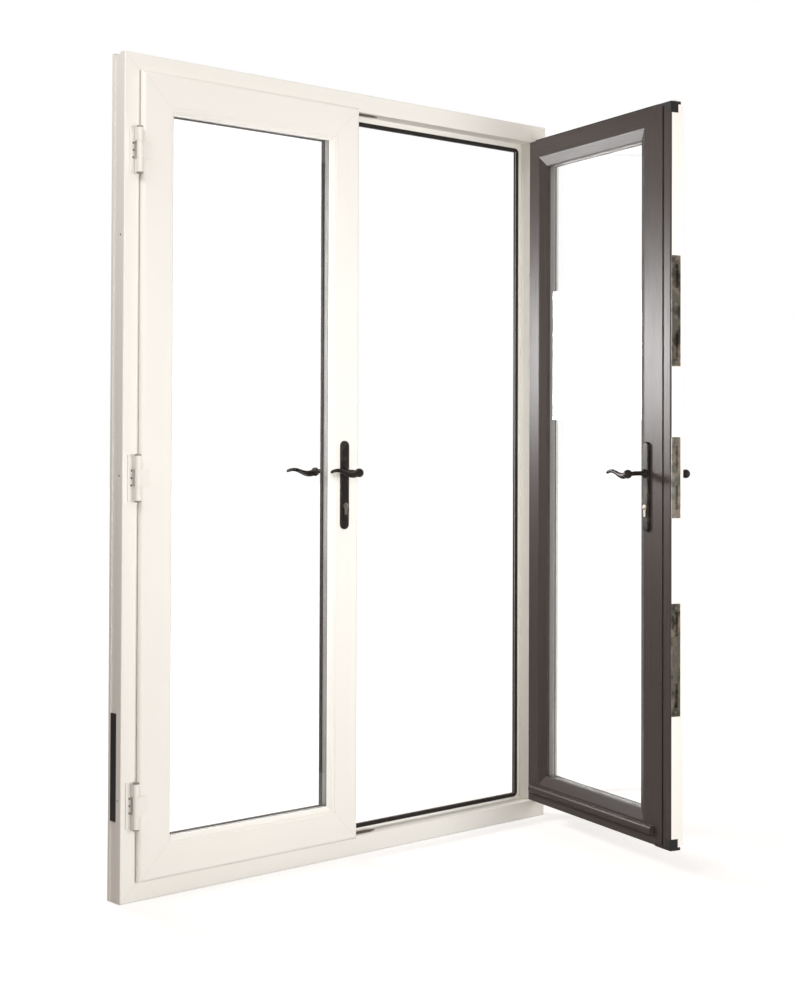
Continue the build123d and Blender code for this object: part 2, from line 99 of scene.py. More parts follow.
def step(tree, value, start, end):
    """Smooth step from 0 at start to 1 at end."""
    limits = {"Value": value, "From Min": start, "From Max": end}
    return put(tree, "MapRange", limits, interpolation_type="SMOOTHSTEP").outputs["Result"]


def rising(tree, share, base, gain):
    """A base value plus a gain times a share from 0 to 1."""
    return calc(tree, "MULTIPLY_ADD", share, gain, base)


def noise(tree, vector, scale, detail=2.0, roughness=0.5):
    """Fractal noise about 0.5, at a scale in cells per metre."""
    settings = {"Vector": vector, "Scale": scale, "Detail": detail, "Roughness": roughness}
    return put(tree, "TexNoise", settings).outputs["Fac"]


def stretched(tree, vector, x, y, z):
    """A point scaled differently along each axis, to draw out a noise along a run."""
    return put(tree, "Mapping", {"Vector": vector, "Scale": (x, y, z)}).outputs["Vector"]


def mix(tree, share, first, second):
    """Mix of two values by a share from 0 to 1."""
    return put(tree, "Mix", {0: share, 2: first, 3: second}, data_type="FLOAT").outputs[0]


def blend(tree, share, first, second):
    """Mix of two colours by a share from 0 to 1."""
    return put(tree, "Mix", {0: share, 6: first, 7: second}, data_type="RGBA").outputs[2]


def new_group(name, inputs, outputs):
    """Empty shader node group with named sockets: a dict of name to kind for each side."""
    tree = bpy.data.node_groups.new(name, "ShaderNodeTree")
    for sockets, side in ((inputs, "INPUT"), (outputs, "OUTPUT")):
        for socket_name, kind in sockets.items():
            tree.interface.new_socket(name=socket_name, in_out=side, socket_type="NodeSocket" + kind)
    given = tree.nodes.new("NodeGroupInput").outputs
    result = tree.nodes.new("NodeGroupOutput").inputs
    return tree, given, result


def use_group(tree, group, inputs):
    """Place a node group in a material with its own values."""
    return put(tree, "Group", inputs, node_tree=group).outputs


def new_material(name, **plain):
    """Material with one Principled shader, whose plain values are set on its own sockets."""
    material = bpy.data.materials.new(name)
    material.use_nodes = True
    tree = material.node_tree
    shader = tree.nodes["Principled BSDF"]
    for key, value in plain.items():
        shader.inputs[key.replace("_", " ").title().replace("Ior", "IOR")].default_value = value
    return material, tree, shader


def finish(tree, shader, color, roughness, height, depth):
    """Link a colour, a roughness and a relief to a shader; a height of 1 stands depth metres proud."""
    tree.links.new(color, shader.inputs["Base Color"])
    tree.links.new(roughness, shader.inputs["Roughness"])
    relief = put(tree, "Bump", {"Height": height, "Distance": depth, "Strength": RELIEF_STRENGTH})
    tree.links.new(relief.outputs["Normal"], shader.inputs["Normal"])


def object_point(tree):
    """Object coordinates, in metres."""
    return put(tree, "TexCoord").outputs["Object"]


def own_point(tree, origin, turn):
    """Object coordinates seen from a piece's own origin and turn."""
    return put(tree, "Mapping", {"Vector": object_point(tree), "Location": origin, "Rotation": turn},
               vector_type="TEXTURE").outputs["Vector"]


def dress(material, *names):
    """Give CAD nodes a material in place of the imported one."""
    for name in names:
        frame["nodes"][name].data.materials.clear()
        frame["nodes"][name].data.materials.append(material)


# Mitres: in a welded rectangle the members meet where the distances from its side and its end are equal.
# Run is a point as distances across, in depth and along the member, and Weld is 1 in the thin weld line.
mitre_group, given, result = new_group(
    "mitred_run", {"Point": "Vector", "Half Width": "Float", "Half Height": "Float"},
    {"Run": "Vector", "Across": "Float", "Depth": "Float", "Weld": "Float"})
axes = put(mitre_group, "SeparateXYZ", {"Vector": given["Point"]}).outputs
from_side = calc(mitre_group, "SUBTRACT", given["Half Width"], calc(mitre_group, "ABSOLUTE", axes["X"]))
from_end = calc(mitre_group, "SUBTRACT", given["Half Height"], calc(mitre_group, "ABSOLUTE", axes["Z"]))
past_mitre = calc(mitre_group, "SUBTRACT", from_side, from_end)
on_rail = calc(mitre_group, "GREATER_THAN", past_mitre, 0.0)
off_weld = calc(mitre_group, "DIVIDE", calc(mitre_group, "ABSOLUTE", past_mitre), WELD_WIDTH)
across = mix(mitre_group, on_rail, from_side, from_end)
along = mix(mitre_group, on_rail, axes["Z"], axes["X"])
run = put(mitre_group, "CombineXYZ", {"X": across, "Y": axes["Y"], "Z": along})
mitre_group.links.new(run.outputs["Vector"], result["Run"])
mitre_group.links.new(across, result["Across"])
mitre_group.links.new(axes["Y"], result["Depth"])
weld = calc(mitre_group, "SUBTRACT", 1.0, step(mitre_group, off_weld, start=0.3, end=1.0))
mitre_group.links.new(weld, result["Weld"])

# White plastic: nearly even, with broad faint clouds of tone, die lines along the run and a fine satin skin.
plastic_group, given, result = new_group(
    "white_plastic", {"Run": "Vector"}, {"Color": "Color", "Roughness": "Float", "Height": "Float"})
clouds = noise(plastic_group, given["Run"], scale=3.0, detail=3.0)
die_run = stretched(plastic_group, given["Run"], x=900.0, y=900.0, z=3.0)
die_lines = noise(plastic_group, die_run, scale=1.0)
skin = noise(plastic_group, given["Run"], scale=1400.0)
plastic_group.links.new(blend(plastic_group, clouds, WHITE_PLASTIC, WHITE_PLASTIC_SHADE),
                        result["Color"])
plastic_group.links.new(rising(plastic_group, clouds, base=0.30, gain=0.12), result["Roughness"])
plastic_group.links.new(calc(plastic_group, "MULTIPLY_ADD", die_lines, 0.6,
                             calc(plastic_group, "MULTIPLY", skin, 0.4)), result["Height"])

# Dark foil: a brown-black film pressed with a shallow wood grain that follows the run.
foil_group, given, result = new_group(
    "dark_foil", {"Run": "Vector"}, {"Color": "Color", "Roughness": "Float", "Height": "Float"})
pore_run = stretched(foil_group, given["Run"], x=700.0, y=700.0, z=16.0)
band_run = stretched(foil_group, given["Run"], x=60.0, y=60.0, z=2.0)
pores = noise(foil_group, pore_run, scale=1.0, detail=4.0, roughness=0.6)
bands = noise(foil_group, band_run, scale=1.0, detail=3.0)
grain = calc(foil_group, "MULTIPLY", step(foil_group, pores, start=0.45, end=0.75),
             step(foil_group, bands, start=0.25, end=0.75))
foil_group.links.new(blend(foil_group, grain, DARK_FOIL, DARK_FOIL_PORE), result["Color"])
foil_group.links.new(rising(foil_group, grain, base=0.34, gain=0.10), result["Roughness"])
foil_group.links.new(calc(foil_group, "SUBTRACT", 1.0, grain), result["Height"])


def profile_material(name, origin, turn, half_width, half_height, face_depth, inner_across, inner_depth,
                     rib_pitch=0.0):
    """Material of a mitred plastic rectangle: white, with dark foil on the exterior past face_depth.

    Further across than inner_across, on the stop or the lip, the foil starts at inner_depth already.
    There a rib pitch above 0 presses fine ribs along the run, a sine of the distance across.
    """
    material, tree, shader = new_material(name, specular_ior_level=PROFILE_GLOSS)
    point = own_point(tree, origin, turn)
    mitre = use_group(tree, mitre_group,
                      {"Point": point, "Half Width": half_width, "Half Height": half_height})
    plastic = use_group(tree, plastic_group, {"Run": mitre["Run"]})
    foil = use_group(tree, foil_group, {"Run": mitre["Run"]})
    on_face = step(tree, mitre["Depth"], face_depth - FOIL_EDGE, face_depth + FOIL_EDGE)
    on_inner = calc(tree, "MULTIPLY",
                    step(tree, mitre["Depth"], inner_depth - FOIL_EDGE, inner_depth + FOIL_EDGE),
                    step(tree, mitre["Across"], inner_across - FOIL_EDGE, inner_across + FOIL_EDGE))
    foiled = calc(tree, "MAXIMUM", on_face, on_inner)
    white_weld = calc(tree, "MULTIPLY", mitre["Weld"], WHITE_WELD_SHARE)
    foil_weld = calc(tree, "MULTIPLY", mitre["Weld"], FOIL_WELD_SHARE)
    white_color = blend(tree, white_weld, plastic["Color"], WELD_SHADE)
    foil_color = blend(tree, foil_weld, foil["Color"], FOIL_WELD)
    height = mix(tree, foiled, plastic["Height"], foil["Height"])
    if rib_pitch > 0:
        rib_wave = calc(tree, "SINE", calc(tree, "MULTIPLY", mitre["Across"], 2 * math.pi / rib_pitch))
        height = calc(tree, "MULTIPLY_ADD", calc(tree, "MULTIPLY", rib_wave, on_inner), RIB_HEIGHT, height)
    height = calc(tree, "MULTIPLY_ADD", mitre["Weld"], WELD_SINK, height)
    finish(tree, shader, blend(tree, foiled, white_color, foil_color),
           mix(tree, foiled, plastic["Roughness"], foil["Roughness"]), height, PROFILE_RELIEF)
    return material


frame_middle = Vector((0, FRAME_LOW.y, FRAME_HALF_HEIGHT))
dress(profile_material("frame_profile", frame_middle, NO_TURN, FRAME_HALF_WIDTH, FRAME_HALF_HEIGHT,
                       FRAME_DEPTH - FOIL_RETURN, FRAME_FACE_WIDTH + FOIL_PAST_FACE,
                       FRAME_STOP_DEPTH + FOIL_PAST_STOP),
      "left_jamb", "right_jamb", "head", "threshold")

# Packing strip: black moulded plastic in the left jamb's back groove.
# The false mullion's end caps have the same finish.
BLACK_PLASTIC = (0.020, 0.019, 0.019, 1)
BLACK_PLASTIC_SCUFF = (0.045, 0.043, 0.042, 1)
black_plastic, tree, shader = new_material("black_plastic", specular_ior_level=0.4)
place = object_point(tree)
scuffs = noise(tree, place, scale=120.0, detail=5.0, roughness=0.7)
scuffed = step(tree, scuffs, start=0.55, end=0.75)
finish(tree, shader, blend(tree, scuffed, BLACK_PLASTIC, BLACK_PLASTIC_SCUFF),
       rising(tree, scuffs, base=0.32, gain=0.25), scuffs, depth=0.0001)
dress(black_plastic, "jamb_packer")

# Keeps for the right leaf's bolts: pressed steel plates in the head and the threshold.
# Yellow-brown passivated with duller patches, each held by two countersunk screws.
BOLT_KEEP_BROWN = (0.235, 0.185, 0.130, 1)
BOLT_KEEP_DULL = (0.130, 0.100, 0.072, 1)
BOLT_SCREW_RADIUS = 0.0038
BOLT_SCREW_FROM_END = 0.012
BOLT_SCREW_SPACING = 0.046
BOLT_KEEP_THICKNESS = 0.002
SCREW_CROWN = 0.22
SCREW_FALL = 0.6
SCREW_BASE = -0.05
SCREW_SLOT_HALF_WIDTH = 0.13
SCREW_SLOT_REACH = 0.62
SCREW_SLOT_DEPTH = 0.12
SCREW_RINGS = 8
SCREW_STEPS = 33
SHARP_ANGLE = 40
MERGE_DISTANCE = 1e-6
SCREW_STEEL = (0.40, 0.39, 0.37, 1)
SCREW_STEEL_DULL = (0.24, 0.23, 0.21, 1)
UP = np.array([0.0, 0.0, 1.0])

passivated, tree, shader = new_material("passivated_steel", metallic=0.6)
place = object_point(tree)
patches = noise(tree, place, scale=70.0, detail=4.0, roughness=0.6)
finish(tree, shader, blend(tree, patches, BOLT_KEEP_BROWN, BOLT_KEEP_DULL),
       rising(tree, patches, base=0.38, gain=0.2), patches, depth=0.0001)
dress(passivated, "bolt_keeps")

screw_steel, tree, shader = new_material("screw_steel", metallic=0.9)
place = object_point(tree)
turning = noise(tree, place, scale=900.0, detail=3.0)
finish(tree, shader, blend(tree, step(tree, turning, start=0.4, end=0.7), SCREW_STEEL, SCREW_STEEL_DULL),
       rising(tree, turning, base=0.28, gain=0.2), turning, depth=0.00005)


def lay_surface(name, grids, material, body):
    """Piece through one or more grids of points, each rows by columns by 3, riding on a body.

    Seams and poles are closed by merging equal points, and the faces of each shell are turned outwards.
    """
    starts = np.cumsum([0] + [grid.shape[0] * grid.shape[1] for grid in grids])
    faces = []
    for start, grid in zip(starts, grids):
        index = start + np.arange(grid.shape[0] * grid.shape[1]).reshape(grid.shape[:2])
        cells = np.stack([index[:-1, :-1], index[:-1, 1:], index[1:, 1:], index[1:, :-1]], axis=-1)
        faces.append(cells.reshape(-1, 4))
    points = np.concatenate([grid.reshape(-1, 3) for grid in grids])
    mesh = bpy.data.meshes.new(name)
    mesh.from_pydata(points.tolist(), [], np.concatenate(faces).tolist())
    shell = bmesh.new()
    shell.from_mesh(mesh)
    bmesh.ops.remove_doubles(shell, verts=shell.verts, dist=MERGE_DISTANCE)
    bmesh.ops.recalc_face_normals(shell, faces=shell.faces)
    shell.to_mesh(mesh)
    shell.free()
    mesh.shade_smooth()
    mesh.set_sharp_from_angle(angle=math.radians(SHARP_ANGLE))
    mesh.materials.append(material)
    piece = bpy.data.objects.new(name, mesh)
    bpy.context.scene.collection.objects.link(piece)
    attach(piece, body)
    return piece


def screw_heads(centres, facing, radius):
    """Grids of low domed screw heads with a cross recess, one for each centre, looking along facing.

    A head is a disc in polar steps. Its height falls with the square of the radius from the crown
    to the rim, and drops by a fixed depth inside two crossed slots. A flat base under the rim closes it.
    """
    facing = np.array(facing, float)
    first = np.cross(facing, UP)
    if np.linalg.norm(first) < 0.5:
        first = np.array([1.0, 0.0, 0.0])
    first /= np.linalg.norm(first)
    second = np.cross(facing, first)
    share = np.concatenate([[0.0, 1.0], np.linspace(1.0, 0.0, SCREW_RINGS)])[:, None]
    angle = np.linspace(0, 2 * np.pi, SCREW_STEPS)[None, :]
    u = share * np.cos(angle)
    v = share * np.sin(angle)
    slot = (np.minimum(np.abs(u), np.abs(v)) < SCREW_SLOT_HALF_WIDTH) & (share < SCREW_SLOT_REACH)
    lift = SCREW_CROWN * (1 - SCREW_FALL * share ** 2) - SCREW_SLOT_DEPTH * slot
    lift[:2] = SCREW_BASE
    head = radius * (u[..., None] * first + v[..., None] * second + lift[..., None] * facing)
    return [np.array(centre) + head for centre in centres]


keep_low, keep_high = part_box("bolt_keeps")
screw_x = keep_low.x + BOLT_SCREW_FROM_END + BOLT_SCREW_SPACING * np.arange(2)
screw_y = (keep_low.y + keep_high.y) / 2
lower_screws = [(x, screw_y, keep_low.z + BOLT_KEEP_THICKNESS) for x in screw_x]
upper_screws = [(x, screw_y, keep_high.z - BOLT_KEEP_THICKNESS) for x in screw_x]
lay_surface("bolt_keep_screws", screw_heads(lower_screws, (0, 0, 1), BOLT_SCREW_RADIUS)
            + screw_heads(upper_screws, (0, 0, -1), BOLT_SCREW_RADIUS), screw_steel, "frame")

# Hinges: three white flag hinges a side, die-cast and powder coated, on steel pins.
# The frame's flags hold the pins, with caps whose dark grey is painted shade for the shadow lines at the
# hinges' ends, and three screws each; the leaf's flags turn on the pins.
HINGE_COAT = (0.87, 0.860, 0.812, 1)
HINGE_COAT_SHADE = (0.80, 0.78, 0.73, 1)
# Dark grey of the pin caps: painted shade for the shadow lines at each hinge's top and bottom ends.
CAP_PAINTED_SHADE_GREY = (0.30, 0.27, 0.25, 1)
CAP_PAINTED_SHADE_DARK = (0.22, 0.20, 0.18, 1)
HINGE_CAP_RADIUS = 0.0083
HINGE_CAP_HEIGHT = 0.0035
HINGE_CAP_TOP = 0.8
HINGE_CAP_SHOULDER = 0.3
HINGE_CAP_STEPS = 33
HINGE_LENGTH = 0.114
HINGE_SCREW_RADIUS = 0.0028
HINGE_SCREW_SPACING = 0.018
HINGE_SCREW_FROM_EDGE = 0.010
HINGE_HEIGHTS = (0.238, 1.040, 1.847)
FRAME_FLAG_THICKNESS = 0.004
hinge_coat, tree, shader = new_material("hinge_coat", specular_ior_level=0.4)
place = object_point(tree)
tone = noise(tree, place, scale=14.0, detail=3.0)
finish(tree, shader, blend(tree, tone, HINGE_COAT, HINGE_COAT_SHADE),
       rising(tree, tone, base=0.30, gain=0.15), noise(tree, place, scale=700.0), depth=0.00006)
# Pin cap finish: a dark grey that is painted shade, with random tone.
cap_painted_shade, tree, shader = new_material("hinge_cap_painted_shade", specular_ior_level=0.35)
place = object_point(tree)
tone = noise(tree, place, scale=200.0, detail=3.0)
finish(tree, shader, blend(tree, tone, CAP_PAINTED_SHADE_GREY, CAP_PAINTED_SHADE_DARK),
       rising(tree, tone, base=0.4, gain=0.2), tone, depth=0.00006)
joints = {joint["name"]: joint for joint in frame["joints"]}


def pin_cap(axis, height, direction):
    """Turned cap on a hinge's end: a short cylinder whose rim is drawn in, closed by a flat top."""
    radius = HINGE_CAP_RADIUS * np.array([0.0, 1.0, 1.0, HINGE_CAP_TOP, 0.0])[:, None, None]
    lift = HINGE_CAP_HEIGHT * np.array([-0.5, -0.5, HINGE_CAP_SHOULDER, 0.5, 0.5])[:, None, None]
    angle = np.linspace(0, 2 * np.pi, HINGE_CAP_STEPS)[None, :, None]
    around = np.cos(angle) * np.array([1.0, 0, 0]) + np.sin(angle) * np.array([0, 1.0, 0])
    return np.array([axis[0], axis[1], height]) + radius * around + direction * lift * UP


for side, hand in (("left", 1), ("right", -1)):
    dress(hinge_coat, side + "_hinge_frame_flags", side + "_hinge_leaf_flags")
    flag_low, flag_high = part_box(side + "_hinge_frame_flags")
    flag_edge = flag_low.x if hand > 0 else flag_high.x
    screw_x = flag_edge + hand * HINGE_SCREW_FROM_EDGE
    screw_y = flag_high.y - FRAME_FLAG_THICKNESS
    screw_places = [(screw_x, screw_y, height + HINGE_SCREW_SPACING * row)
                    for height in HINGE_HEIGHTS for row in (-1, 0, 1)]
    pin = joints[side + "_leaf_swing"]["pos_m"]
    caps = [pin_cap(pin, height + direction * HINGE_LENGTH / 2, direction)
            for height in HINGE_HEIGHTS for direction in (-1, 1)]
    lay_surface(side + "_hinge_caps", caps, cap_painted_shade, "frame")
    lay_surface(side + "_hinge_screws", screw_heads(screw_places, (0, -1, 0), HINGE_SCREW_RADIUS),
                screw_steel, "frame")

# Leaves: two mitred and welded plastic sashes with glazing beads on the room side.
# White in the room and on the edges, with the dark foil on the exterior face, moulding and lip.
LEAF_LIP_DEPTH = 0.042
LEAF_MOULDING_ACROSS = 0.066
MOULDING_RIB_PITCH = 0.0045
FOIL_BEFORE_LIP = 0.001
LEFT_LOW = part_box("left_hinge_stile")[0]
LEAF_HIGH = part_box("left_top_rail")[1]
LEAF_MIDDLE_HEIGHT = (LEFT_LOW.z + LEAF_HIGH.z) / 2
LEAF_HALF_HEIGHT = (LEAF_HIGH.z - LEFT_LOW.z) / 2
LEAF_DEPTH = LEAF_HIGH.y - LEFT_LOW.y
OPENING = -math.radians(joints["right_leaf_swing"]["range_deg"][0])
left_axis = np.array(joints["left_leaf_swing"]["pos_m"])
right_axis = np.array(joints["right_leaf_swing"]["pos_m"])
left_along, left_outward = np.array([1.0, 0.0, 0.0]), np.array([0.0, 1.0, 0.0])
right_along = np.array([-math.cos(OPENING), -math.sin(OPENING), 0])
right_outward = np.array([-math.sin(OPENING), math.cos(OPENING), 0])
left_origin = np.array([LEFT_LOW.x, LEFT_LOW.y, 0])
right_origin = (right_axis * (1, 1, 0) + right_along * (LEFT_LOW.x - left_axis[0])
                + right_outward * (LEFT_LOW.y - left_axis[1]))
LEAVES = {"left": (left_origin, left_along, left_outward),
          "right": (right_origin, right_along, right_outward)}
SASH_PIECES = ("hinge_stile", "lock_stile", "top_rail", "bottom_rail", "beads")


def on_leaf(side, along, depth, height):
    """Points at distances along a leaf from its hinge edge, in depth from its room face, and up."""
    origin, run, outward = LEAVES[side]
    along, depth, height = np.broadcast_arrays(along, depth, height)
    return origin + along[..., None] * run + depth[..., None] * outward + height[..., None] * UP


def reach_along(side, node):
    """How far a CAD node reaches from its leaf's hinge edge along the leaf."""
    mesh = frame["nodes"][node].data
    points = np.empty(len(mesh.vertices) * 3, np.float32)
    mesh.vertices.foreach_get("co", points)
    return float(((points.reshape(-1, 3) - LEAVES[side][0]) @ LEAVES[side][1]).max())


LEAF_WIDTHS = {side: reach_along(side, side + "_top_rail") for side in LEAVES}
LEAF_TURNS = {"left": NO_TURN, "right": (0, 0, OPENING)}
LEAF_MIDDLES = {side: on_leaf(side, LEAF_WIDTHS[side] / 2, 0.0, LEAF_MIDDLE_HEIGHT) for side in LEAVES}
for side in LEAVES:
    sash = profile_material(side + "_profile", LEAF_MIDDLES[side], LEAF_TURNS[side], LEAF_WIDTHS[side] / 2,
                            LEAF_HALF_HEIGHT, LEAF_DEPTH - FOIL_RETURN, LEAF_MOULDING_ACROSS,
                            LEAF_LIP_DEPTH - FOIL_BEFORE_LIP, MOULDING_RIB_PITCH)
    dress(sash, *[side + "_" + piece for piece in SASH_PIECES])

# Seals: rubber strips round the frame's stop, round each glass unit and on the leaves' top and meeting edges;
# the black strip on each leaf's top edge is partly a seal and partly painted dark reflection of that edge.
# Matt extruded rubber pushed into grooves; the flange seals that close on the frame's face are pale grey.
RUBBER = (0.016, 0.014, 0.013, 1)
RUBBER_BLOOM = (0.032, 0.029, 0.028, 1)
GREY_RUBBER = (0.070, 0.066, 0.062, 1)
GREY_RUBBER_BLOOM = (0.110, 0.104, 0.098, 1)
PALE_RUBBER = (0.60, 0.58, 0.55, 1)
PALE_RUBBER_SHADE = (0.52, 0.50, 0.47, 1)
FLANGE_WIDTH = 0.018
FLANGE_THICKNESS = 0.012
FLANGE_SEAL_INSET = 0.0015
FLANGE_SEAL_WIDTH = 0.008
FLANGE_SEAL_REACH = 0.0045
# Black strip on each leaf's top edge, partly a seal and partly painted dark reflection:
EDGE_SEAL_DEPTH = 0.049
EDGE_SEAL_WIDTH = 0.010
EDGE_SEAL_REACH = 0.005
EDGE_SEAL_FROM_HINGE = 0.044
SEAL_FLATNESS = 0.6
SEAL_STEPS = 13


def rubber_material(name, color, bloom_color):
    """Matt rubber with a faint cloudy bloom and a fine skin."""
    material, tree, shader = new_material(name, specular_ior_level=0.25)
    place = object_point(tree)
    bloom = noise(tree, place, scale=60.0, detail=4.0)
    finish(tree, shader, blend(tree, bloom, color, bloom_color),
           rising(tree, bloom, base=0.55, gain=0.2), noise(tree, place, scale=900.0), depth=0.0001)
    return material


black_rubber = rubber_material("black_rubber", RUBBER, RUBBER_BLOOM)
pale_rubber = rubber_material("pale_rubber", PALE_RUBBER, PALE_RUBBER_SHADE)
grey_rubber = rubber_material("grey_rubber", GREY_RUBBER, GREY_RUBBER_BLOOM)
dress(black_rubber, "frame_gasket", "left_meeting_seal")
dress(grey_rubber, "left_glazing_seal", "right_glazing_seal")


def seal_section(width, reach):
    """Bulb section: the reach is a power of a half sine over the width, and a chord closes it."""
    share = np.linspace(0, 1, SEAL_STEPS)
    across = np.concatenate([share * width, [0.0]])
    return across, np.concatenate([np.sin(np.pi * share) ** SEAL_FLATNESS * reach, [0.0]])


def flange_seal(side):
    """The seal section carried round the leaf's flange, where each of its points makes a rectangle."""
    across, reach = seal_section(FLANGE_SEAL_WIDTH, FLANGE_SEAL_REACH)
    inset = (FLANGE_SEAL_INSET + across)[:, None]
    half_width = LEAF_WIDTHS[side] / 2 - inset
    half_height = LEAF_HALF_HEIGHT - inset
    corner_x = np.array([-1, 1, 1, -1, -1])
    corner_z = np.array([-1, -1, 1, 1, -1])
    return on_leaf(side, LEAF_WIDTHS[side] / 2 + corner_x * half_width,
                   (FLANGE_THICKNESS + reach)[:, None], LEAF_MIDDLE_HEIGHT + corner_z * half_height)


def edge_seal_and_dark_reflection(side):
    """The seal section carried straight along the top edge of a leaf's body, with closed ends; its black is
    partly a real seal and partly painted dark reflection of the top edge.
    """
    across, reach = seal_section(EDGE_SEAL_WIDTH, EDGE_SEAL_REACH)
    start, end = EDGE_SEAL_FROM_HINGE, LEAF_WIDTHS[side] - FLANGE_WIDTH
    middle = np.full_like(across, EDGE_SEAL_WIDTH / 2)
    sections = np.stack([middle, across, across, middle], axis=1)
    lifts = np.stack([np.zeros_like(reach), reach, reach, np.zeros_like(reach)], axis=1)
    return on_leaf(side, np.array([start, start, end, end]), EDGE_SEAL_DEPTH + sections,
                   LEAF_HIGH.z - FLANGE_WIDTH + lifts)


# The black top strip is partly a seal and partly painted dark reflection of the top edge.
for side in LEAVES:
    lay_surface(side + "_flange_seal", [flange_seal(side)], pale_rubber, side + "_leaf")
    lay_surface(side + "_edge_seal_and_dark_reflection", [edge_seal_and_dark_reflection(side)], black_rubber, side + "_leaf")

# Glass units: two clear panes a leaf on a grey spacer bar.
# Float glass, sealed at its edges and bedded on rubber.
SPACER = (0.30, 0.29, 0.275, 1)
SPACER_PERFORATION = (0.12, 0.115, 0.11, 1)
glass, tree, shader = new_material("clear_glass", base_color=(1, 1, 1, 1), roughness=0.0, ior=1.45,
                                   transmission_weight=1.0)
light_path = put(tree, "LightPath")
clear = put(tree, "BsdfTransparent", {"Color": (1, 1, 1, 1)})
passing = put(tree, "MixShader", {0: light_path.outputs["Is Shadow Ray"], 1: shader.outputs[0],
                                  2: clear.outputs[0]})
tree.links.new(passing.outputs[0], tree.nodes["Material Output"].inputs["Surface"])
dress(glass, "left_glass", "right_glass")
spacer, tree, shader = new_material("spacer_bar", metallic=0.6)
place = object_point(tree)
holes = put(tree, "TexVoronoi", {"Vector": place, "Scale": 300.0}).outputs["Distance"]
bar = step(tree, holes, start=0.1, end=0.25)
finish(tree, shader, blend(tree, bar, SPACER_PERFORATION, SPACER),
       rising(tree, holes, base=0.4, gain=0.2), bar, depth=0.0001)
dress(spacer, "left_spacer", "right_spacer")

# Lock faceplate: a long zinc-plated steel strip let into the left leaf's meeting edge.
# Held by a row of small countersunk screws.
ZINC = (0.40, 0.395, 0.35, 1)
ZINC_DULL = (0.21, 0.205, 0.175, 1)
ZINC_WARM = (0.46, 0.40, 0.33, 1)
FACEPLATE_SCREW_HEIGHTS = (0.19, 0.36, 0.76, 0.90, 1.18, 1.28, 1.68, 1.90)
SMALL_SCREW_RADIUS = 0.0034


def plated_material(name, bright, dull, warm):
    """Zinc-plated steel: a bright base with soft dull patches, warm stains and a fine spangle."""
    material, tree, shader = new_material(name, metallic=0.7)
    place = object_point(tree)
    patches = noise(tree, place, scale=30.0, detail=4.0, roughness=0.58)
    stains = noise(tree, place, scale=16.0, detail=3.0, roughness=0.6)
    spangle = put(tree, "TexVoronoi", {"Vector": place, "Scale": 260.0}).outputs["Distance"]
    plated = blend(tree, step(tree, stains, start=0.46, end=0.62), bright, warm)
    finish(tree, shader, blend(tree, step(tree, patches, start=0.44, end=0.64), plated, dull),
           rising(tree, spangle, base=0.38, gain=0.2), patches, depth=0.0002)
    return material


zinc = plated_material("zinc_steel", ZINC, ZINC_DULL, ZINC_WARM)
dress(zinc, "left_lock_faceplate")
faceplate_low, faceplate_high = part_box("left_lock_faceplate")
faceplate_screws = [(faceplate_high.x, (faceplate_low.y + faceplate_high.y) / 2, height)
                    for height in FACEPLATE_SCREW_HEIGHTS]
lay_surface("faceplate_screws", screw_heads(faceplate_screws, (1, 0, 0), SMALL_SCREW_RADIUS),
            screw_steel, "left_leaf")

# False mullion: a plastic cover post on the right leaf's meeting edge, with black end caps.
# White towards the room and on the edge, with the dark foil on its exterior face.
# It is one straight piece, so its mitres and lip are set far outside it.
MULLION_FAR = 10.0
mullion_finish = profile_material("mullion_profile", LEAF_MIDDLES["right"], LEAF_TURNS["right"],
                                  MULLION_FAR, LEAF_HALF_HEIGHT + 2 * MULLION_FAR,
                                  LEAF_DEPTH - FOIL_RETURN, 2 * MULLION_FAR, LEAF_DEPTH)
dress(mullion_finish, "right_false_mullion")
dress(black_plastic, "right_mullion_caps")

# Keeps on the mullion's edge: three plated steel plates, the outer two olive, with hook pockets.
# Each is held by screws at its ends, with two adjusting cams at its middle and a steel tray in each pocket.
KEEP_OLIVE = (0.20, 0.19, 0.16, 1)
KEEP_OLIVE_DULL = (0.070, 0.066, 0.056, 1)
KEEP_OLIVE_WARM = (0.36, 0.31, 0.25, 1)
KEEP_SCREW_FROM_END = 0.011
KEEP_CAM_SPACING = 0.034
KEEP_CAM_RADIUS = 0.0055
KEEP_POCKET_FROM_END = 0.054
KEEP_POCKET_HALF_LENGTH = 0.0318
KEEP_POCKET_HALF_WIDTH = 0.0063
TRAY_DEPTH = 0.008
TRAY_WALL = 0.0006
TRAY_RIM = 0.0005


def pocket_tray(edge, depth, height):
    """Open tray let into the mullion's edge: rectangles from the outer floor, over the rim, to the inner."""
    floor_sunk = TRAY_DEPTH - TRAY_WALL
    inset = np.array([KEEP_POCKET_HALF_WIDTH, 0, 0, TRAY_WALL, TRAY_WALL, KEEP_POCKET_HALF_WIDTH])[:, None]
    sunk = np.array([TRAY_DEPTH, TRAY_DEPTH, TRAY_RIM, TRAY_RIM, floor_sunk, floor_sunk])[:, None]
    half_width = KEEP_POCKET_HALF_WIDTH - inset
    half_length = KEEP_POCKET_HALF_LENGTH - inset
    return on_leaf("right", edge - sunk, depth + np.array([-1, 1, 1, -1, -1]) * half_width,
                   height + np.array([-1, -1, 1, 1, -1]) * half_length)


